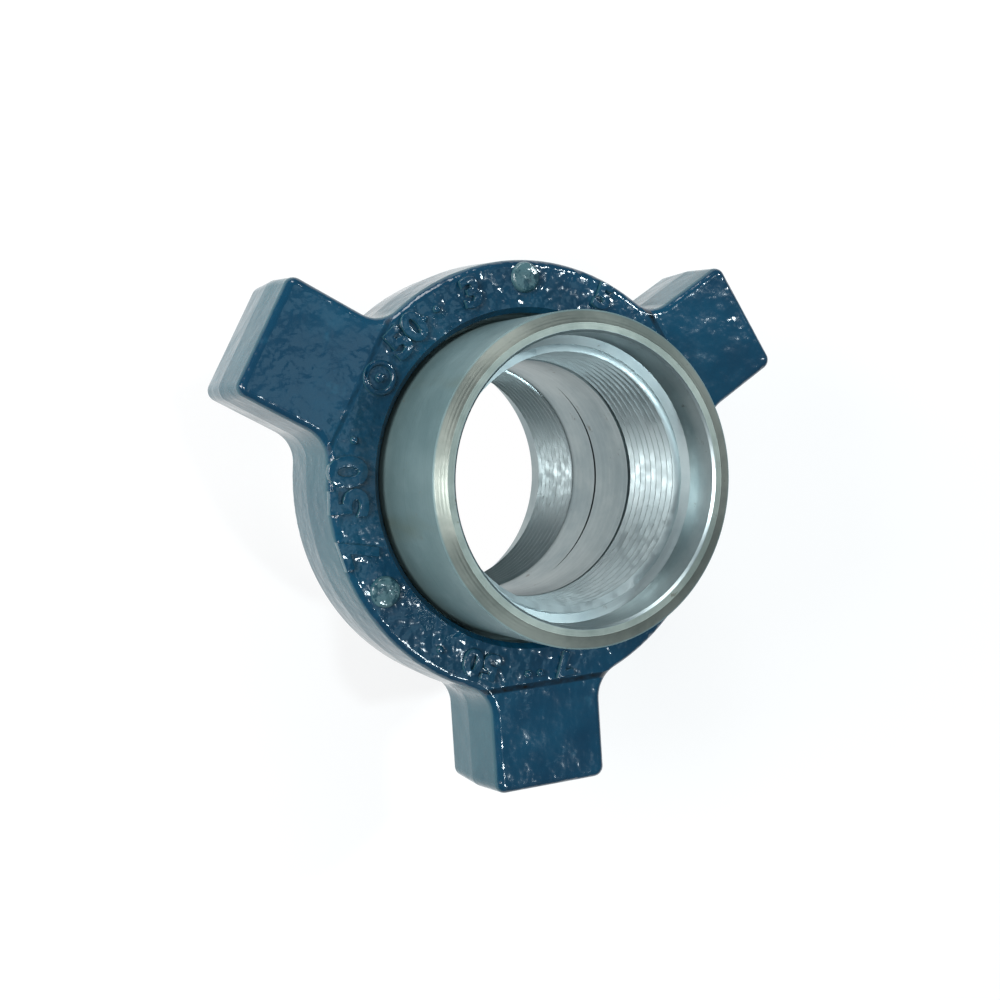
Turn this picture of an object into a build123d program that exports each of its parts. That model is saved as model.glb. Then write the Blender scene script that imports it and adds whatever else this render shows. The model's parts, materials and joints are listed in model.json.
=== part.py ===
"""Two-inch hammer union: two internally threaded pipe subs drawn together by a three-lug wing nut.

The union stands on the female sub's end face, with its bore along +Z and the origin on the bore
axis at that face.  All sizes are millimetres.
"""
import math
import os

from build123d import *

os.makedirs("parts", exist_ok=True)

# ---- whole union ---------------------------------------------------------------------------
union_length = 88.0  # end face to end face, made up tight
lug_count = 3
first_lug_angle = 90.0  # one lug lies along +Y

# ---- pipe ends, the same on both subs ------------------------------------------------------
tail_radius = 36.5
end_bevel_radial = 2.9
end_bevel_axial = 1.3
recess_radius = 31.6  # smooth mouth ahead of the pipe thread
recess_depth = 9.5
mouth_chamfer = 0.5
thread_wall_radius = 29.7  # wall on which the tapered pipe thread stands
thread_end_depth = 29.8
thread_lead_in = 0.9  # cone from the smooth mouth down to the thread

# ---- bores between the two pipe threads ----------------------------------------------------
male_bore_radius = 27.25
female_bore_radius = 28.0

# ---- ball nose of the male sub in the cone seat of the female sub ---------------------------
seat_bottom_height = 41.0
seat_bottom_radius = 28.7
seat_half_angle = 45.0
seat_contact_radius = 33.0  # circle on which the ball bears in the cone
ball_clearance = 0.4
nose_end_gap = 1.5  # open groove between nose and seat, seen from inside the bore
nose_chamfer = 0.6

# ---- collar of the female sub, which carries the nut thread ----------------------------------
collar_bottom_height = 31.0
collar_top_height = 49.5
collar_radius = 44.7
collar_chamfer = 1.8
collar_back_angle = 45.0
collar_root_fillet = 3.0

# ---- shoulder of the male sub, on which the nut pulls ----------------------------------------
shoulder_top_height = 54.0
shoulder_gap = 0.4  # above the female collar when made up
shoulder_radius = 41.0
shoulder_edge = 1.0
neck_fillet = 0.9

# ---- seal ring in the ball -------------------------------------------------------------------
seal_wire_radius = 1.78
seal_proud = 0.1  # stands out of the ball
groove_side_clearance = 0.1
groove_floor_clearance = 0.05

# ---- wing nut --------------------------------------------------------------------------------
nut_top_height = 62.0
nut_height = 25.0
nut_ring_radius = 50.5
nut_hole_clearance = 1.4  # round the tail of the male sub
nut_hole_chamfer = 1.2
nut_thread_clearance = 0.3
nut_mouth_chamfer = 1.5
lug_tip_distance = 72.0
lug_half_width = 14.7
lug_corner_radius = 3.0
lug_root_radius = 7.0
forging_draft = 3.0
forged_edge_radius = 1.8

# ---- heights and radii that follow ------------------------------------------------------------
nut_bottom_height = nut_top_height - nut_height
nut_mid_height = nut_top_height - nut_height / 2
nut_hole_radius = tail_radius + nut_hole_clearance
nut_bore_radius = collar_radius + nut_thread_clearance
seat_slope = math.tan(math.radians(seat_half_angle))
seat_top_radius = seat_bottom_radius + (collar_top_height - seat_bottom_height) * seat_slope
contact_height = seat_bottom_height + (seat_contact_radius - seat_bottom_radius) / seat_slope
ball_centre_height = contact_height + seat_contact_radius * seat_slope
ball_radius = seat_contact_radius / math.cos(math.radians(seat_half_angle)) - ball_clearance
nose_end_height = seat_bottom_height + nose_end_gap
shoulder_bottom_height = collar_top_height + shoulder_gap


def ball_radius_at(height):
    """Distance from the bore axis to the ball at a height."""
    return math.sqrt(ball_radius**2 - (ball_centre_height - height) ** 2)


def pipe_bore_points(depth_sign, end_height, inner_radius, inner_height):
    """Corners of one pipe port, from its mouth in to the plain bore.

    depth_sign is +1 where the port opens downwards and -1 where it opens upwards.
    """
    recess_floor = end_height + depth_sign * recess_depth
    return [
        (tail_radius, end_height + depth_sign * end_bevel_axial),
        (tail_radius - end_bevel_radial, end_height),
        (recess_radius + mouth_chamfer, end_height),
        (recess_radius, end_height + depth_sign * mouth_chamfer),
        (recess_radius, recess_floor),
        (thread_wall_radius, recess_floor + depth_sign * thread_lead_in),
        (thread_wall_radius, end_height + depth_sign * thread_end_depth),
        (inner_radius, end_height + depth_sign * thread_end_depth),
        (inner_radius, inner_height),
    ]


# ---- female sub: pipe tail, threaded collar and cone seat ------------------------------------
collar_back_height = (collar_radius - tail_radius) / math.tan(math.radians(collar_back_angle))
female_outline = pipe_bore_points(+1, 0.0, female_bore_radius, seat_bottom_height)
with BuildPart() as female_sub:
    with BuildSketch(Plane.XZ):
        with BuildLine():
            Polyline(
                *female_outline,
                (seat_bottom_radius, seat_bottom_height),
                (seat_top_radius, collar_top_height),
                (collar_radius - collar_chamfer, collar_top_height),
                (collar_radius, collar_top_height - collar_chamfer),
                (collar_radius, collar_bottom_height),
                (tail_radius, collar_bottom_height - collar_back_height),
                female_outline[0],
            )
        make_face()
    revolve(axis=Axis.Z)
    tail_corner = (
        female_sub.edges()
        .filter_by(GeomType.CIRCLE)
        .filter_by(lambda edge: abs(edge.radius - tail_radius) < 0.01)
        .sort_by(Axis.Z)[-1]
    )
    fillet(tail_corner, collar_root_fillet)
female_sub.part.label = "female_sub"

# ---- male sub: pipe tail, shoulder and ball nose with its seal groove --------------------------
seal_angle = math.radians(seat_half_angle)
seal_centre_reach = ball_radius + seal_proud - seal_wire_radius
seal_centre = (
    seal_centre_reach * math.cos(seal_angle),
    ball_centre_height - seal_centre_reach * math.sin(seal_angle),
)
groove_depth = 2 * seal_wire_radius - seal_proud + groove_floor_clearance
groove_reach = ball_radius
groove_width = 2 * (seal_wire_radius + groove_side_clearance)
male_outline = pipe_bore_points(-1, union_length, male_bore_radius, nose_end_height + nose_chamfer)
groove_plane = Plane(
    origin=(groove_reach * math.cos(seal_angle), 0, ball_centre_height - groove_reach * math.sin(seal_angle)),
    x_dir=(math.cos(seal_angle), 0, -math.sin(seal_angle)),
    z_dir=(0, -1, 0),
)
nose_middle_height = (nose_end_height + shoulder_bottom_height) / 2
with BuildPart() as male_sub:
    with BuildSketch(Plane.XZ):
        with BuildLine():
            Polyline(
                *male_outline,
                (male_bore_radius + nose_chamfer, nose_end_height),
                (ball_radius_at(nose_end_height), nose_end_height),
            )
            ThreePointArc(
                (ball_radius_at(nose_end_height), nose_end_height),
                (ball_radius_at(nose_middle_height), nose_middle_height),
                (ball_radius_at(shoulder_bottom_height), shoulder_bottom_height),
            )
            Polyline(
                (ball_radius_at(shoulder_bottom_height), shoulder_bottom_height),
                (shoulder_radius - shoulder_edge, shoulder_bottom_height),
                (shoulder_radius, shoulder_bottom_height + shoulder_edge),
                (shoulder_radius, shoulder_top_height),
                (tail_radius, shoulder_top_height),
                male_outline[0],
            )
        make_face()
    revolve(axis=Axis.Z)
    with BuildSketch(groove_plane):
        Rectangle(2 * groove_depth, groove_width)
    revolve(axis=Axis.Z, mode=Mode.SUBTRACT)
    neck_corner = (
        male_sub.edges()
        .filter_by(GeomType.CIRCLE)
        .filter_by(lambda edge: abs(edge.radius - tail_radius) < 0.01)
        .sort_by(Axis.Z)[0]
    )
    fillet(neck_corner, neck_fillet)
male_sub.part.label = "male_sub"

# ---- seal ring, seated in the groove of the ball ------------------------------------------------
with BuildPart() as seal_ring:
    with BuildSketch(Plane.XZ):
        with Locations(seal_centre):
            Circle(seal_wire_radius)
    revolve(axis=Axis.Z)
seal_ring.part.label = "seal_ring"

# ---- wing nut: forged ring and lugs, bored for the collar and for the tail ------------------------
lug_angles = [first_lug_angle + index * 360 / lug_count for index in range(lug_count)]
with BuildSketch() as nut_outline:
    Circle(nut_ring_radius)
    for angle in lug_angles:
        with Locations(Rotation(0, 0, angle)):
            Rectangle(lug_tip_distance, 2 * lug_half_width, align=(Align.MIN, Align.CENTER))
    ring_corners = nut_outline.vertices().filter_by(lambda v: abs(v.to_tuple()[0]) + abs(v.to_tuple()[1]) > 1)
    root_corners = ring_corners.filter_by(lambda v: math.hypot(v.X, v.Y) < nut_ring_radius + 0.01)
    fillet(root_corners, lug_root_radius)
    tip_corners = nut_outline.vertices().filter_by(
        lambda v: math.hypot(v.X, v.Y) > lug_tip_distance
    )
    fillet(tip_corners, lug_corner_radius)

with BuildPart() as wing_nut:
    with BuildSketch(Plane.XY.offset(nut_mid_height)):
        add(nut_outline.sketch)
    extrude(amount=nut_height / 2, taper=forging_draft)
    with BuildSketch(Plane.XY.offset(nut_mid_height)):
        add(nut_outline.sketch)
    extrude(amount=-nut_height / 2, taper=forging_draft)
    rims = wing_nut.faces().filter_by(Plane.XY).sort_by(Axis.Z)
    fillet(rims[0].edges() + rims[-1].edges(), forged_edge_radius)
    with BuildSketch(Plane.XZ):
        with BuildLine():
            Polyline(
                (0, nut_bottom_height),
                (nut_bore_radius + nut_mouth_chamfer, nut_bottom_height),
                (nut_bore_radius, nut_bottom_height + nut_mouth_chamfer),
                (nut_bore_radius, shoulder_top_height),
                (nut_hole_radius, shoulder_top_height),
                (nut_hole_radius, nut_top_height - nut_hole_chamfer),
                (nut_hole_radius + nut_hole_chamfer, nut_top_height),
                (0, nut_top_height),
                (0, nut_bottom_height),
            )
        make_face()
    revolve(axis=Axis.Z, mode=Mode.SUBTRACT)
wing_nut.part.label = "wing_nut"

for piece in (female_sub, male_sub, seal_ring, wing_nut):
    export_step(piece.part, f"parts/{piece.part.label}.step")
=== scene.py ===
# %% [markdown]
# # A hammer union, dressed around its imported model
# A hammer union joins two pipes.  A ball-nosed sub is drawn into a cone-seated sub by a forged wing
# nut that is struck round with a hammer.  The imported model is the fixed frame: its solids stay where
# they are, and this script gives them their finish, winds the threads and raises the marks on the nut.

# %% Load the frame
import json
import math
import bmesh
import bpy
from mathutils import Matrix, Vector


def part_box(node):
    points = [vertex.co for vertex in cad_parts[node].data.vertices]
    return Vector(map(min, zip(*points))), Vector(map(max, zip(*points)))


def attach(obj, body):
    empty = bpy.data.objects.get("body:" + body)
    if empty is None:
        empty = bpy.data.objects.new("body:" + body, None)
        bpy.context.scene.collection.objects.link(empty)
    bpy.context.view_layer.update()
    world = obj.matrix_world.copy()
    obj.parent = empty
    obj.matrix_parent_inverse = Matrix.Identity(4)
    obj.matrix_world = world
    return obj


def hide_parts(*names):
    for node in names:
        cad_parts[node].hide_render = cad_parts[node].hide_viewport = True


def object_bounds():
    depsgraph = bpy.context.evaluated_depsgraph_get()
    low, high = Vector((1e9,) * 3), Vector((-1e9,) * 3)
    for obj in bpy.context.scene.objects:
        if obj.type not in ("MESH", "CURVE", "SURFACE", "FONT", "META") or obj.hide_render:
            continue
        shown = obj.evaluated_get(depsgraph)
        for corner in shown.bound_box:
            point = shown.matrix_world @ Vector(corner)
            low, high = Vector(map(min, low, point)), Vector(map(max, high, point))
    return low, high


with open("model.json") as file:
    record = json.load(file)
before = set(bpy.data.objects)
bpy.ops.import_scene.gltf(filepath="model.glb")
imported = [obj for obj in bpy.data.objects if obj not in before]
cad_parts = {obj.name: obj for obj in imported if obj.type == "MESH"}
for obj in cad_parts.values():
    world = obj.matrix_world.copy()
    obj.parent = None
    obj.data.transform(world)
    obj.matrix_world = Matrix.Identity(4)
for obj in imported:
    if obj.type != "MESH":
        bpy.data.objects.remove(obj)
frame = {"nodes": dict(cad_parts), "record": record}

cad_low, cad_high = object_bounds()
nodes = frame["nodes"]
print("frame:", {name: len(nodes[name].data.polygons) for name in nodes})

# %% [markdown]
# The places that the added pieces stand on are read from the frame: the nut's two faces, the collar
# and the walls that carry the two pipe threads.

# %% Read the places that the pieces stand on
MM = 1000                # millimetres in a metre
TAIL_RADIUS = 0.0365     # outside of both pipe tails

mounts = {mount["name"]: mount for mount in frame["record"]["mounts"]}
nut_low, nut_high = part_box("wing_nut")
_, male_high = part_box("male_sub")
_, female_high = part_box("female_sub")
nut_top = nut_high.z
collar_radius = female_high.x
collar_top = female_high.z
thread_wall = mounts["male_thread"]["dims"]["r_mm"] / MM
thread_length = mounts["male_thread"]["dims"]["length_mm"] / MM
print("nut top", round(nut_top, 4), "union top", round(male_high.z, 4), "thread wall", thread_wall)

# %% [markdown]
# ## Camera
# The union is looked at from over its mouth, a little from one side, and rolled so that its axis lies
# across the picture.  A target, a distance, an azimuth, an elevation and a roll say it all.

# %% Place the camera
CAMERA_AZIMUTH = -7.685
CAMERA_ELEVATION = 63.506
CAMERA_DISTANCE = 0.34815
CAMERA_TARGET = Vector((0.00906, 0.00422, 0.062))
CAMERA_ROLL = 93.219
CAMERA_LENS = 55.33
CAMERA_SENSOR = 36.0
CAMERA_NEAREST = 0.01

azimuth, elevation = math.radians(CAMERA_AZIMUTH), math.radians(CAMERA_ELEVATION)
back = Vector((
    math.cos(elevation) * math.cos(azimuth),
    math.cos(elevation) * math.sin(azimuth),
    math.sin(elevation),
))
camera = bpy.data.objects.new("camera", bpy.data.cameras.new("camera"))
bpy.context.scene.collection.objects.link(camera)
camera.data.lens = CAMERA_LENS
camera.data.sensor_width = CAMERA_SENSOR
camera.data.clip_start = CAMERA_NEAREST
level = back.to_track_quat("Z", "Y").to_matrix()
camera.matrix_world = Matrix.Translation(CAMERA_TARGET + back * CAMERA_DISTANCE) @ (
    level @ Matrix.Rotation(math.radians(CAMERA_ROLL), 3, "Z")
).to_4x4()
bpy.context.scene.camera = camera
print("camera at", [round(value, 3) for value in camera.matrix_world.translation])

# %% [markdown]
# ## Material helpers
# Each finish is a small node tree on a Principled shader.  `Tree` keeps the wiring short: it adds a
# node and sets its inputs, and an input that is given as a socket is linked.

# %% A short way to wire nodes
class Tree:
    """One material and its Principled shader."""

    def __init__(self, name, inputs=None):
        self.material = bpy.data.materials.new(name)
        self.material.use_nodes = True
        self.nodes = self.material.node_tree.nodes
        self.links = self.material.node_tree.links
        self.shader = self.nodes["Principled BSDF"]
        self.set(self.shader, inputs or {})
        self.place = self.add("ShaderNodeTexCoord").outputs["Object"]

    def set(self, node, inputs):
        """Links a socket, or writes a value, to each input that is named or numbered."""
        for key, value in inputs.items():
            if isinstance(value, bpy.types.NodeSocket):
                self.links.new(value, node.inputs[key])
            else:
                node.inputs[key].default_value = value

    def add(self, kind, inputs=None, **settings):
        node = self.nodes.new(kind)
        for key, value in settings.items():
            setattr(node, key, value)
        self.set(node, inputs or {})
        return node

    def noise(self, scale, detail=3.0, roughness=0.5, stretch=None):
        """Noise with scale cells to the metre, or squeezed along the axes by stretch."""
        place = self.place
        if stretch:
            place = self.add("ShaderNodeMapping", {"Vector": place, "Scale": stretch}).outputs[0]
        inputs = {"Vector": place, "Scale": scale, "Detail": detail, "Roughness": roughness}
        return self.add("ShaderNodeTexNoise", inputs).outputs["Fac"]

    def ramp(self, value, low, high, start=0.0, end=1.0):
        """A smooth step from start, below low, to end, above high."""
        inputs = {"Value": value, "From Min": low, "From Max": high, "To Min": start, "To Max": end}
        return self.add("ShaderNodeMapRange", inputs, interpolation_type="SMOOTHSTEP").outputs[0]

    def math(self, operation, first, second=0.0):
        return self.add("ShaderNodeMath", {0: first, 1: second}, operation=operation).outputs[0]

    def mix(self, factor, first, second):
        """A mix of two colours; the numbers are the node's own colour inputs and output."""
        return self.add("ShaderNodeMix", {0: factor, 6: first, 7: second}, data_type="RGBA").outputs[2]

    def radius(self):
        """Distance from the bore axis, and the height along it."""
        parts = self.add("ShaderNodeSeparateXYZ", {"Vector": self.place})
        square = self.math(
            "ADD",
            self.math("MULTIPLY", parts.outputs[0], parts.outputs[0]),
            self.math("MULTIPLY", parts.outputs[1], parts.outputs[1]),
        )
        return self.math("SQRT", square), parts.outputs[2]

    def bump(self, *layers):
        """Layers of (height, distance in metres, strength), the coarsest first."""
        normal = None
        for height, distance, strength in layers:
            inputs = {"Height": height, "Distance": distance, "Strength": strength}
            if normal is not None:
                inputs["Normal"] = normal
            normal = self.add("ShaderNodeBump", inputs).outputs[0]
        self.set(self.shader, {"Normal": normal})


def colour(red, green, blue):
    """A colour written as it is seen, from 0 to 255, turned to linear light."""
    def linear(value):
        value = value / 255
        return value / 12.92 if value <= 0.04045 else ((value + 0.055) / 1.055) ** 2.4
    return (linear(red), linear(green), linear(blue), 1.0)


# %% [markdown]
# ## Blue enamel
# The nut is brushed with thick gloss enamel over a rough forging.  On top the paint is deep and wet
# looking, and roughest on the ring, where the marks are; the upright sides are duller, and their paler
# colour is painted sheen, a painted highlight for the light they catch at a grazing slant.  The ring's
# edge runs on across the root of each lug as a small step.

# %% Make the enamel
LUG_TURN = math.tau / 3
FIRST_LUG = math.radians(90)
LUG_STEP_START = 0.0466      # the ring's edge, measured along a lug
LUG_STEP_END = 0.0482
LUG_STEP_HEIGHT = 0.0026
RING_FADE = 0.004            # how far past the step the ring's rough paint runs out
LUG_TIP_START = 0.062        # where the paint is rough again, towards a lug's tip
LUG_TIP_END = 0.071
FLANK_TILT = (0.25, 0.75)    # upright part of the normal, from a side to a top
# painted sheen: this paler colour on the upright sides stands in for light caught at a grazing slant
SIDE_PAINTED_SHEEN = colour(50, 86, 94)


def lug_reach(tree):
    """Distance along the nearest lug's own centre line, from the bore axis."""
    parts = tree.add("ShaderNodeSeparateXYZ", {"Vector": tree.place})
    angle = tree.math("ARCTAN2", parts.outputs[1], parts.outputs[0])
    shifted = tree.math("ADD", angle, 2 * LUG_TURN + LUG_TURN / 2 - FIRST_LUG)
    folded = tree.math("SUBTRACT", tree.math("FLOORED_MODULO", shifted, LUG_TURN), LUG_TURN / 2)
    reach, _ = tree.radius()
    return tree.math("MULTIPLY", reach, tree.math("COSINE", folded))


def enamel_finish(name, base, worn, wear):
    """Enamel of a base colour; wear, from 0 to 1, says how much of it shows the worn colour."""
    tree = Tree(name, {"IOR": 1.5, "Coat Weight": 0.15, "Coat Roughness": 0.1})
    patches = tree.noise(38.0, 4.0, 0.6)
    grime = tree.noise(160.0, 3.0, 0.6)
    scuffs = tree.noise(90.0, 5.0, 0.7)
    dark = (base[0] * 0.55, base[1] * 0.62, base[2] * 0.68, 1.0)
    pale = (base[0] * 1.6 + 0.006, base[1] * 1.45 + 0.008, base[2] * 1.3 + 0.01, 1.0)
    body = tree.mix(tree.ramp(patches, 0.35, 0.68), dark, base)
    body = tree.mix(tree.ramp(grime, 0.62, 0.78, 0.0, 0.5), body, pale)
    body = tree.mix(tree.ramp(scuffs, 1.0 - wear, 1.04 - wear), body, worn)

    normal = tree.add("ShaderNodeNewGeometry").outputs["Normal"]
    upright = tree.math("ABSOLUTE", tree.add("ShaderNodeSeparateXYZ", {"Vector": normal}).outputs[2])
    # Painted sheen: the upright sides are mixed, in patches, towards the paler side colour, as if lit from
    # the side.
    side_sheen_mask = tree.ramp(upright, *FLANK_TILT, 1.0, 0.0)
    side_sheen_mask = tree.math("MULTIPLY", side_sheen_mask, tree.ramp(patches, 0.2, 0.7, 0.55, 0.85))
    tree.set(tree.shader, {
        "Base Color": tree.mix(side_sheen_mask, body, SIDE_PAINTED_SHEEN),
        "Specular IOR Level": tree.ramp(upright, *FLANK_TILT, 0.2, 0.5),
        "Roughness": tree.ramp(grime, 0.3, 0.7, 0.1, 0.2),
    })

    reach = lug_reach(tree)
    step = tree.ramp(reach, LUG_STEP_START, LUG_STEP_END, 1.0, 0.0)
    step_strength = tree.ramp(upright, 0.5, 0.9)
    rough = tree.ramp(reach, LUG_STEP_START, LUG_STEP_END + RING_FADE, 0.6, 0.24)
    rough = tree.math("ADD", rough, tree.ramp(reach, LUG_TIP_START, LUG_TIP_END, 0.0, 0.2))
    rough = tree.math("MULTIPLY", rough, tree.ramp(upright, *FLANK_TILT, 0.35, 1.0))
    dents, runs = tree.noise(60.0, 2.0), tree.noise(240.0, 2.0)
    stipple, orange_peel = tree.noise(520.0, 1.0), tree.noise(1300.0, 2.0)
    tree.bump(
        (step, LUG_STEP_HEIGHT, step_strength),
        (dents, 0.0018, 0.3),
        (runs, 0.0008, rough),
        (stipple, 0.0004, rough),
        (orange_peel, 0.00010, 0.25),
    )
    return tree.material


enamel = enamel_finish("blue_enamel", colour(2, 57, 80), colour(40, 84, 100), 0.18)
worn_enamel = enamel_finish("worn_enamel", colour(30, 68, 78), colour(62, 90, 96), 0.5)

# %% [markdown]
# ## Turned steel
# The subs are turned bars.  Outside they keep a dull greenish grey skin; the bore and the recess are
# bare machined steel, and the end face and its bevel are stained.  The distance from the axis tells
# the three apart.  Fine turning rings follow the cut of the tool everywhere.

# %% Make the steel
RIM_START = 0.0320       # the stained end face begins outside the recess
RIM_FADE = 0.0003
SKIN_START = 0.0006      # the skin begins just inside the tail's outside
SKIN_END = 0.00005
RING_SCALE = 900.0
SKIN_DULL = 0.7          # how much less metallic the skin is


def steel_finish(name):
    tree = Tree(name)
    reach, height = tree.radius()
    turning = tree.add("ShaderNodeCombineXYZ", {
        "X": tree.math("MULTIPLY", reach, RING_SCALE), "Z": tree.math("MULTIPLY", height, RING_SCALE),
    }).outputs[0]
    rings = tree.add("ShaderNodeTexNoise", {"Vector": turning, "Scale": 3.0, "Detail": 3.0}).outputs["Fac"]
    stain = tree.noise(45.0, 5.0, 0.65)
    streak = tree.noise(60.0, 3.0, 0.6, (1.0, 1.0, 0.25))
    spots = tree.ramp(tree.noise(230.0, 4.0, 0.7), 0.64, 0.73, 0.0, 0.6)

    outside = tree.mix(tree.ramp(stain, 0.35, 0.7), colour(90, 113, 115), colour(106, 128, 130))
    outside = tree.mix(tree.ramp(streak, 0.58, 0.75, 0.0, 0.6), outside, colour(88, 102, 94))
    inside = tree.mix(tree.ramp(stain, 0.3, 0.7), colour(138, 154, 158), colour(166, 178, 179))
    end_face = tree.mix(tree.ramp(stain, 0.35, 0.65), colour(124, 132, 126), colour(156, 162, 154))
    inside = tree.mix(tree.ramp(reach, RIM_START, RIM_START + RIM_FADE), inside, end_face)
    skin = tree.ramp(reach, TAIL_RADIUS - SKIN_START, TAIL_RADIUS - SKIN_END)
    polish = tree.ramp(rings, 0.3, 0.7, 0.32, 0.44)
    tree.set(tree.shader, {
        "Base Color": tree.mix(spots, tree.mix(skin, inside, outside), colour(92, 84, 70)),
        "Metallic": tree.math("SUBTRACT", 1.0, tree.math("MULTIPLY", skin, SKIN_DULL)),
        "Roughness": tree.math("ADD", polish, tree.math("MULTIPLY", skin, 0.06)),
    })
    tree.bump((stain, 0.0004, 0.10), (rings, 0.00004, 0.28))
    return tree.material


steel = steel_finish("turned_steel")

# %% [markdown]
# The cut pipe threads are the brightest steel, and the seal ring is plain matt nitrile rubber.

# %% Make the thread steel and the rubber
def thread_finish():
    tree = Tree("thread_steel", {"Metallic": 1.0})
    tree.set(tree.shader, {
        "Base Color": tree.mix(tree.noise(120.0, 4.0), colour(144, 160, 163), colour(174, 185, 186)),
        "Roughness": tree.ramp(tree.noise(400.0), 0.3, 0.7, 0.34, 0.48),
    })
    tree.bump((tree.noise(900.0, 3.0), 0.00004, 0.4))
    return tree.material


def rubber_finish():
    tree = Tree("nitrile_rubber", {"Roughness": 0.6})
    body = tree.mix(tree.noise(200.0), colour(26, 26, 27), colour(44, 44, 45))
    tree.set(tree.shader, {"Base Color": body})
    tree.bump((tree.noise(1500.0), 0.00003, 0.4))
    return tree.material


thread_steel = thread_finish()
rubber = rubber_finish()
for name, material in (
    ("male_sub", steel), ("female_sub", steel), ("seal_ring", rubber), ("wing_nut", enamel),
):
    nodes[name].data.materials.clear()
    nodes[name].data.materials.append(material)
print("finishes:", [material.name for material in (enamel, worn_enamel, steel, thread_steel, rubber)])

# %% [markdown]
# ## Pieces
# A finished bmesh becomes an object that sits at the origin and rides on a body of the frame.

# %% Turn a bmesh into a piece
WELD = 1e-6
SHARP_EDGE = math.radians(32)


def piece(name, form, material, body):
    bmesh.ops.remove_doubles(form, verts=form.verts, dist=WELD)
    bmesh.ops.recalc_face_normals(form, faces=form.faces)
    mesh = bpy.data.meshes.new(name)
    form.to_mesh(mesh)
    form.free()
    mesh.materials.append(material)
    mesh.shade_smooth()
    mesh.set_sharp_from_angle(angle=SHARP_EDGE)
    obj = bpy.data.objects.new(name, mesh)
    bpy.context.scene.collection.objects.link(obj)
    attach(obj, body)
    print(name, len(mesh.polygons), "faces")
    return obj


# %% [markdown]
# ## Threads
# One column of teeth is spun a full turn while it climbs one pitch, so that the turn's end meets its
# start a tooth further on: that is what makes it a helix and not a stack of rings.  The ends are cut
# square, and the back is closed so that the thread is a solid ring.

# %% Wind a thread ring
TURN_STEPS = 128
TURN_WELD = 1e-5
CUT_SNAP = 1e-7
STARTS_BELOW = 1.5       # pitches below the lower cut at which the column of teeth begins
SPARE_TEETH = 4


def tooth_top(tooth):
    return max(out for _, out in tooth)


def thread_ring(pitch, tooth, root, back, low_z, high_z, taper=0.0, wide_z=0.0, lead=0.0):
    """A solid ring whose face is one helical thread.

    tooth is one pitch of outline as (height along the axis, distance from the root) pairs, where a
    negative distance stands inwards.  back is the radius of the hidden face.  The radius shrinks by
    taper for each metre from wide_z, and lead chamfers an outer thread at its top.
    """
    form = bmesh.new()
    first = low_z - STARTS_BELOW * pitch
    count = int((high_z - low_z) / pitch) + SPARE_TEETH
    corners = [
        form.verts.new((root + out, 0, first + index * pitch + along))
        for index in range(count) for along, out in tooth
    ]
    corners.append(form.verts.new((root + tooth[0][1], 0, first + count * pitch)))
    edges = [form.edges.new(pair) for pair in zip(corners, corners[1:])]
    bmesh.ops.spin(
        form, geom=corners + edges, cent=(0, 0, 0), axis=(0, 0, 1), dvec=(0, 0, pitch / TURN_STEPS),
        angle=math.tau, steps=TURN_STEPS, use_merge=False,
    )
    bmesh.ops.remove_doubles(form, verts=form.verts, dist=TURN_WELD)
    for cut_z, side in ((low_z, -1), (high_z, 1)):
        bmesh.ops.bisect_plane(
            form, geom=form.verts[:] + form.edges[:] + form.faces[:], dist=CUT_SNAP,
            plane_co=(0, 0, cut_z), plane_no=(0, 0, side), clear_outer=True,
        )
    for vert in form.verts:
        reach = math.hypot(vert.co.x, vert.co.y)
        wanted = reach - taper * abs(vert.co.z - wide_z)
        if lead:
            wanted = min(wanted, max(root, root + tooth_top(tooth) - lead + (high_z - vert.co.z)))
        vert.co.x, vert.co.y = vert.co.x * wanted / reach, vert.co.y * wanted / reach
    rims = [edge for edge in form.edges if edge.is_boundary]
    grown = bmesh.ops.extrude_edge_only(form, edges=rims)["geom"]
    for vert in (item for item in grown if isinstance(item, bmesh.types.BMVert)):
        reach = math.hypot(vert.co.x, vert.co.y)
        vert.co.x, vert.co.y = vert.co.x * back / reach, vert.co.y * back / reach
    bmesh.ops.bridge_loops(form, edges=[edge for edge in form.edges if edge.is_boundary])
    return form


# %% [markdown]
# ## Pipe threads
# A two-inch line-pipe thread has 11.5 threads to the inch, 60 degree flanks and a taper of 1 in 16 on
# the diameter.  The teeth stand inwards from the thread wall of each end, widest at the mouth.

# %% Cut the two pipe threads
PIPE_PITCH = 0.0254 / 11.5
PIPE_DEPTH = 0.76 * PIPE_PITCH
PIPE_FLAT = 0.06 * PIPE_PITCH
PIPE_TAPER = 1 / 32
WALL_GAP = 0.00006

pipe_flank = PIPE_PITCH / 2 - PIPE_FLAT
pipe_tooth = (
    (0, 0), (pipe_flank, -PIPE_DEPTH), (pipe_flank + PIPE_FLAT, -PIPE_DEPTH),
    (2 * pipe_flank + PIPE_FLAT, 0),
)
male_mouth = mounts["male_thread"]["pos_m"][2] + thread_length / 2
female_mouth = mounts["female_thread"]["pos_m"][2] - thread_length / 2
for name, body, mouth, inner in (
    ("male_pipe_thread", "male_end", male_mouth, male_mouth - thread_length),
    ("female_pipe_thread", "female_end", female_mouth, female_mouth + thread_length),
):
    form = thread_ring(
        PIPE_PITCH, pipe_tooth, thread_wall - WALL_GAP, thread_wall - WALL_GAP / 3,
        min(mouth, inner), max(mouth, inner), PIPE_TAPER, mouth,
    )
    piece(name, form, thread_steel, body)

# %% [markdown]
# ## The nut's thread
# The collar and the nut carry a coarse Acme thread: flanks of 14.5 degrees, flat crest and root.  The
# packed collar is a plain turned blank of the crest radius, so the female sub is turned again here
# on a smaller core, by spinning its section, and the thread ring is wound on it.

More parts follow.
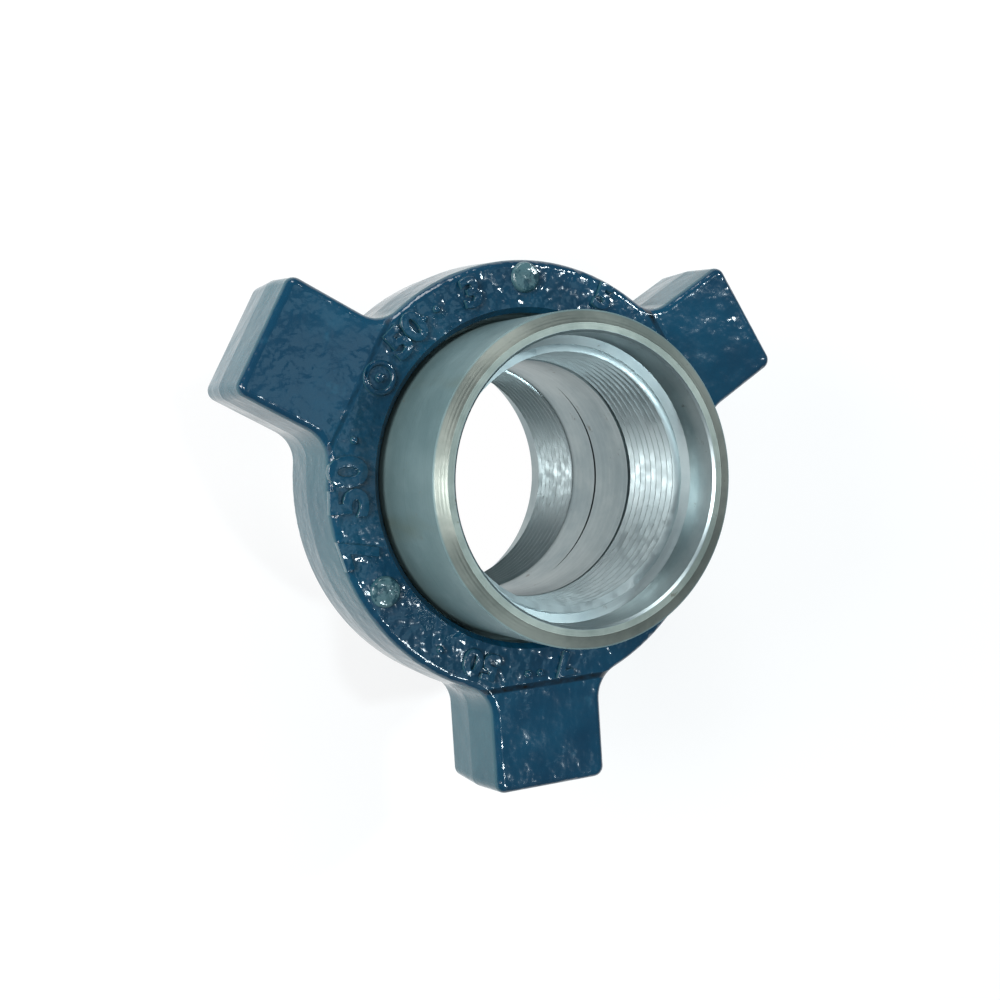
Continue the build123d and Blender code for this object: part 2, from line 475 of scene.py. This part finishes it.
# %% Turn the female sub with its threaded collar
ACME_PITCH = 0.00635
ACME_DEPTH = 0.0034
ACME_CREST = 0.00235
ACME_SLOPE = math.tan(math.radians(14.5))
ACME_FLANK = ACME_DEPTH * ACME_SLOPE
ACME_CLEARANCE = 0.0003
ACME_LEAD = 0.0026
THREAD_BOTTOM = 0.0335
SECTION_STEPS = 160

core_radius = collar_radius - ACME_DEPTH
root_flat = ACME_PITCH - ACME_CREST - 2 * ACME_FLANK
acme_tooth = (
    (0, 0), (root_flat, 0), (root_flat + ACME_FLANK, ACME_DEPTH),
    (root_flat + ACME_FLANK + ACME_CREST, ACME_DEPTH),
)


def turned(outline):
    """A closed outline of (radius, height) pairs in millimetres, spun into a solid of metres."""
    form = bmesh.new()
    ring = [form.verts.new((radius / MM, 0, height / MM)) for radius, height in outline]
    edges = [form.edges.new((ring[index - 1], ring[index])) for index in range(len(ring))]
    bmesh.ops.spin(
        form, geom=ring + edges, cent=(0, 0, 0), axis=(0, 0, 1), angle=math.tau,
        steps=SECTION_STEPS, use_merge=True,
    )
    return form


face_mm, core_mm, crest_mm, foot_mm = (
    value * MM for value in (collar_top, core_radius, collar_radius, THREAD_BOTTOM)
)
female_section = {       # (radius, height) in millimetres, up the bore and down the outside
    "end bevel": ((36.5, 1.3), (33.6, 0)),
    "end face": ((32.1, 0), (31.6, 0.5)),
    "recess": ((31.6, 9.5), (29.7, 10.4)),
    "thread wall": ((29.7, 29.8), (28.0, 29.8)),
    "bore": ((28.0, 41.0),),
    "cone seat": ((28.7, 41.0), (37.2, face_mm)),
    "collar face": ((41.0, face_mm), (core_mm, face_mm - 0.3)),
    "thread core": ((core_mm, foot_mm),),
    "collar band": ((crest_mm - 0.5, foot_mm), (crest_mm, foot_mm - 0.5), (crest_mm, 31.0)),
    "neck": ((37.9, 24.2), (37.0, 23.0), (36.6, 21.9), (36.5, 21.0)),
}
female_outline = [point for points in female_section.values() for point in points]
female_body = piece("female_turned", turned(female_outline), steel, "female_end")
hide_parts("female_sub")
collar_thread = thread_ring(
    ACME_PITCH, acme_tooth, core_radius + WALL_GAP, core_radius - WALL_GAP,
    THREAD_BOTTOM, collar_top - WALL_GAP, lead=ACME_LEAD,
)
piece("collar_thread", collar_thread, steel, "female_end")

# %% [markdown]
# The nut's own thread fills the collar's groove with a small clearance.  Its column of teeth is shifted
# until a tooth's middle falls on the groove's middle.  Both threads climb alike, and as much as the nut
# does when it turns, so the two stay clear of each other.

# %% Wind the nut's thread
NUT_THREAD_INSET = 0.0012    # from the nut's lower face
NUT_THREAD_STOP = 0.0102     # from the nut's upper face

nut_root = collar_radius + ACME_CLEARANCE - WALL_GAP
nut_depth = nut_root - core_radius - ACME_CLEARANCE
nut_flank = nut_depth * ACME_SLOPE
nut_crest = root_flat - 2 * ACME_CLEARANCE + 2 * ACME_CLEARANCE * ACME_SLOPE
groove_middle = THREAD_BOTTOM - STARTS_BELOW * ACME_PITCH + root_flat / 2
nut_thread_low = nut_low.z + NUT_THREAD_INSET
nut_thread_high = nut_top - NUT_THREAD_STOP
tooth_middle = nut_thread_low - STARTS_BELOW * ACME_PITCH + nut_flank + nut_crest / 2
shift = (groove_middle - tooth_middle) % ACME_PITCH
nut_tooth = (
    (shift, 0), (shift + nut_flank, -nut_depth), (shift + nut_flank + nut_crest, -nut_depth),
    (shift + 2 * nut_flank + nut_crest, 0),
)
nut_thread = thread_ring(
    ACME_PITCH, nut_tooth, nut_root, nut_root + WALL_GAP / 2, nut_thread_low, nut_thread_high,
)
print("nut's teeth shifted by", round(shift / ACME_PITCH, 3), "of a pitch")
piece("nut_thread", nut_thread, steel, "nut")

# %% [markdown]
# ## Raised marks
# The die leaves raised marks on the nut's face: plain numbers for the nominal bore, single figures, a
# ring, a few dots and two round pads.  Each is a shallow form with rounded edges that stands on the
# face, with its foot sunk in it, and reads outwards.

# %% Raise the marks on the nut
MARK_HEIGHT = 0.0010
MARK_SINK = 0.0004
MARK_ROUND = 0.0002
STROKE_GROWTH = 0.035    # of the figure's size
FIGURE_STRETCH = 1.12
ROUND_TAPER = 0.93
ROUND_BEVEL = 0.6        # of the mark's height
ROUND_STEPS = 40

NUMBER_MARKS = (         # name, number, size, distance from the axis, angle in degrees
    ("bore_number_left", "50", 0.0118, 0.0450, 358.0),
    ("die_number_left", "7", 0.0112, 0.0452, 16.0),
    ("bore_number_top", "50", 0.0092, 0.0445, 311.0),
    ("die_number_top", "3", 0.0090, 0.0443, 287.0),
    ("bore_number_low", "50", 0.0080, 0.0438, 68.0),
    ("die_number_low", "7", 0.0072, 0.0434, 96.0),
    ("die_number_right", "5", 0.0080, 0.0455, 243.0),
)
RING_PLACE = (0.0439, 325.7)     # distance from the axis, angle in degrees
RING_SIZE = 0.0033
RING_WIRE = 0.0007
RING_WIRE_STEPS = 12
RING_CENTRE = 0.0011
PAD_SIZE = 0.0036
PAD_PLACES = {"pad_upper": (0.0458, 268.9), "pad_lower": (0.0443, 29.7)}
DOT_SIZE = 0.0009
DOT_REACH = 0.0448
DOT_ANGLES = (299.0, 304.0, 345.0, 54.0, 84.0, 88.0)


def stand_on_nut(form, radius, angle):
    """Puts a form made about the origin onto the nut's face, with its top turned outwards."""
    turn = Matrix.Rotation(math.radians(angle - 90), 4, "Z")
    place = Matrix.Translation(turn @ Vector((0, radius, nut_top)))
    bmesh.ops.transform(form, matrix=place @ turn, verts=form.verts)


def number_mark(name, text, size, radius, angle):
    curve = bpy.data.curves.new(name, "FONT")
    curve.body = text
    curve.size = size
    curve.align_x = "CENTER"
    curve.align_y = "CENTER"
    curve.extrude = MARK_HEIGHT - MARK_ROUND
    curve.bevel_depth = MARK_ROUND
    curve.bevel_resolution = 2
    curve.offset = size * STROKE_GROWTH - MARK_ROUND / 2
    curve.resolution_u = 4
    writer = bpy.data.objects.new(name + "_curve", curve)
    bpy.context.scene.collection.objects.link(writer)
    mesh = bpy.data.meshes.new_from_object(writer)
    bpy.data.objects.remove(writer)
    form = bmesh.new()
    form.from_mesh(mesh)
    bpy.data.meshes.remove(mesh)
    bmesh.ops.remove_doubles(form, verts=form.verts, dist=WELD)
    bmesh.ops.scale(form, vec=(FIGURE_STRETCH, 1, 1), verts=form.verts)
    stand_on_nut(form, radius, angle)
    return piece(name, form, enamel, "nut")


def round_mark(name, size, radius, angle, material):
    form = bmesh.new()
    bmesh.ops.create_cone(
        form, cap_ends=True, segments=ROUND_STEPS, radius1=size, radius2=size * ROUND_TAPER,
        depth=MARK_HEIGHT + MARK_SINK,
        matrix=Matrix.Translation((0, 0, (MARK_HEIGHT - MARK_SINK) / 2)),
    )
    rim = [edge for edge in form.edges if all(vert.co.z > 0 for vert in edge.verts)]
    bmesh.ops.bevel(
        form, geom=rim, offset=MARK_HEIGHT * ROUND_BEVEL, segments=3, profile=0.5, affect="EDGES",
        material=-1,
    )
    stand_on_nut(form, radius, angle)
    return piece(name, form, material, "nut")


def ring_mark(name, size, wire, radius, angle):
    form = bmesh.new()
    bmesh.ops.create_circle(
        form, segments=RING_WIRE_STEPS, radius=wire,
        matrix=Matrix.Translation((size, 0, 0)) @ Matrix.Rotation(math.pi / 2, 4, "X"),
    )
    bmesh.ops.spin(
        form, geom=form.verts[:] + form.edges[:], cent=(0, 0, 0), axis=(0, 0, 1),
        angle=math.tau, steps=ROUND_STEPS, use_merge=True,
    )
    stand_on_nut(form, radius, angle)
    return piece(name, form, enamel, "nut")


ring_mark("ring_mark", RING_SIZE, RING_WIRE, *RING_PLACE)
round_mark("ring_centre", RING_CENTRE, *RING_PLACE, enamel)
for name, place in PAD_PLACES.items():
    round_mark(name, PAD_SIZE, *place, worn_enamel)
for mark in NUMBER_MARKS:
    number_mark(*mark)
for index, angle in enumerate(DOT_ANGLES):
    round_mark(f"dot_{index + 1}", DOT_SIZE, DOT_REACH, angle, enamel)

# %% [markdown]
# ## Floor, world and lamps
# The floor is a plain pale sheet.  It shows nearly white to the camera and keeps a soft shadow about
# the union.  Under the open bore, and far away, it shows white by itself, because too little light
# falls there.

# %% Lay the floor
FLOOR_SIZE = 20.0            # half the sheet's width
FLOOR_SHADE = (0.86, 0.86, 0.86, 1.0)
WHITE = (1.0, 1.0, 1.0, 1.0)
GLOW_NEAR = 0.72             # share of glow about the union, where the shadow is kept
BORE_FADE = (0.030, 0.046)   # distances from the axis
FAR_FADE = (0.20, 0.55)


def floor_finish():
    tree = Tree("pale_floor", {"Roughness": 0.9, "Base Color": FLOOR_SHADE})
    glow = tree.add("ShaderNodeEmission", {"Color": WHITE, "Strength": 1.0})
    rays = tree.nodes.new("ShaderNodeLightPath")
    seen = tree.math("MAXIMUM", rays.outputs["Is Camera Ray"], rays.outputs["Is Glossy Ray"])
    seen = tree.math("MAXIMUM", seen, rays.outputs["Is Transmission Ray"])
    reach, _ = tree.radius()
    share = tree.math(
        "MAXIMUM", tree.ramp(reach, *BORE_FADE, 1.0, GLOW_NEAR), tree.ramp(reach, *FAR_FADE, GLOW_NEAR, 1.0)
    )
    blend = tree.add("ShaderNodeMixShader", {
        0: tree.math("MULTIPLY", seen, share), 1: tree.shader.outputs[0], 2: glow.outputs[0],
    })
    tree.set(tree.nodes["Material Output"], {"Surface": blend.outputs[0]})
    return tree.material


form = bmesh.new()
bmesh.ops.create_grid(form, x_segments=1, y_segments=1, size=FLOOR_SIZE)
mesh = bpy.data.meshes.new("floor")
form.to_mesh(mesh)
form.free()
mesh.materials.append(floor_finish())
floor = bpy.data.objects.new("floor", mesh)
bpy.context.scene.collection.objects.link(floor)
print("floor", FLOOR_SIZE * 2, "m wide")

# %% [markdown]
# The key lamp stands where it mirrors in the pipe mouth and lights the nut's sides, with a weak one
# beside it.  The back and fill lamps light the other sides.  The haze lamp lies over the union and
# mirrors softly in the top of the enamel on one side, and two small lamps make it sparkle.

# %% Hang the lamps
PLAIN_TINT = (1.0, 1.0, 1.0)
SPARKLE_TINT = (0.84, 0.96, 1.0)
HAZE_TINT = (0.55, 0.86, 1.0)
WORLD_TINT = (0.57, 0.65, 0.70, 1.0)
WORLD_STRENGTH = 0.34

centre = (cad_low + cad_high) / 2
LAMPS = (                    # name, place, target, width in metres, power in watts, tint
    ("key", (0.74, -0.16, 0.46), centre, 0.42, 7.6, PLAIN_TINT),
    ("front", (0.30, 0.02, 0.62), centre, 0.12, 0.8, PLAIN_TINT),
    ("back", (0.10, -0.80, 0.50), centre, 0.4, 3.0, PLAIN_TINT),
    ("fill", (-0.2, 0.9, 0.8), centre, 0.7, 0.2, PLAIN_TINT),
    ("haze", (-0.28, 0.01, 0.98), (0.05, 0.0, 0.06), 0.30, 0.22, HAZE_TINT),
    ("sparkle_upper", (-0.55, -0.28, 0.72), centre, 0.09, 3.2, SPARKLE_TINT),
    ("sparkle_lower", (-0.20, 0.38, 0.95), centre, 0.09, 3.2, SPARKLE_TINT),
)


def lamp(name, place, target, width, power, tint):
    light = bpy.data.lights.new(name, "AREA")
    light.shape = "DISK"
    light.size = width
    light.energy = power
    light.color = tint
    obj = bpy.data.objects.new(name, light)
    bpy.context.scene.collection.objects.link(obj)
    aim = Vector(target) - Vector(place)
    obj.matrix_world = Matrix.Translation(place) @ aim.to_track_quat("-Z", "Y").to_matrix().to_4x4()


for settings in LAMPS:
    lamp(*settings)

world = bpy.data.worlds.new("studio")
bpy.context.scene.world = world
world.use_nodes = True
world_nodes, world_links = world.node_tree.nodes, world.node_tree.links
background = world_nodes["Background"]
background.inputs["Color"].default_value = WORLD_TINT
background.inputs["Strength"].default_value = WORLD_STRENGTH
white = world_nodes.new("ShaderNodeBackground")
white.inputs["Color"].default_value = WHITE
white.inputs["Strength"].default_value = 1.0
rays = world_nodes.new("ShaderNodeLightPath")
blend = world_nodes.new("ShaderNodeMixShader")
world_links.new(rays.outputs["Is Camera Ray"], blend.inputs[0])
world_links.new(background.outputs[0], blend.inputs[1])
world_links.new(white.outputs[0], blend.inputs[2])
world_links.new(blend.outputs[0], world_nodes["World Output"].inputs["Surface"])
bpy.context.scene.view_settings.view_transform = "Standard"
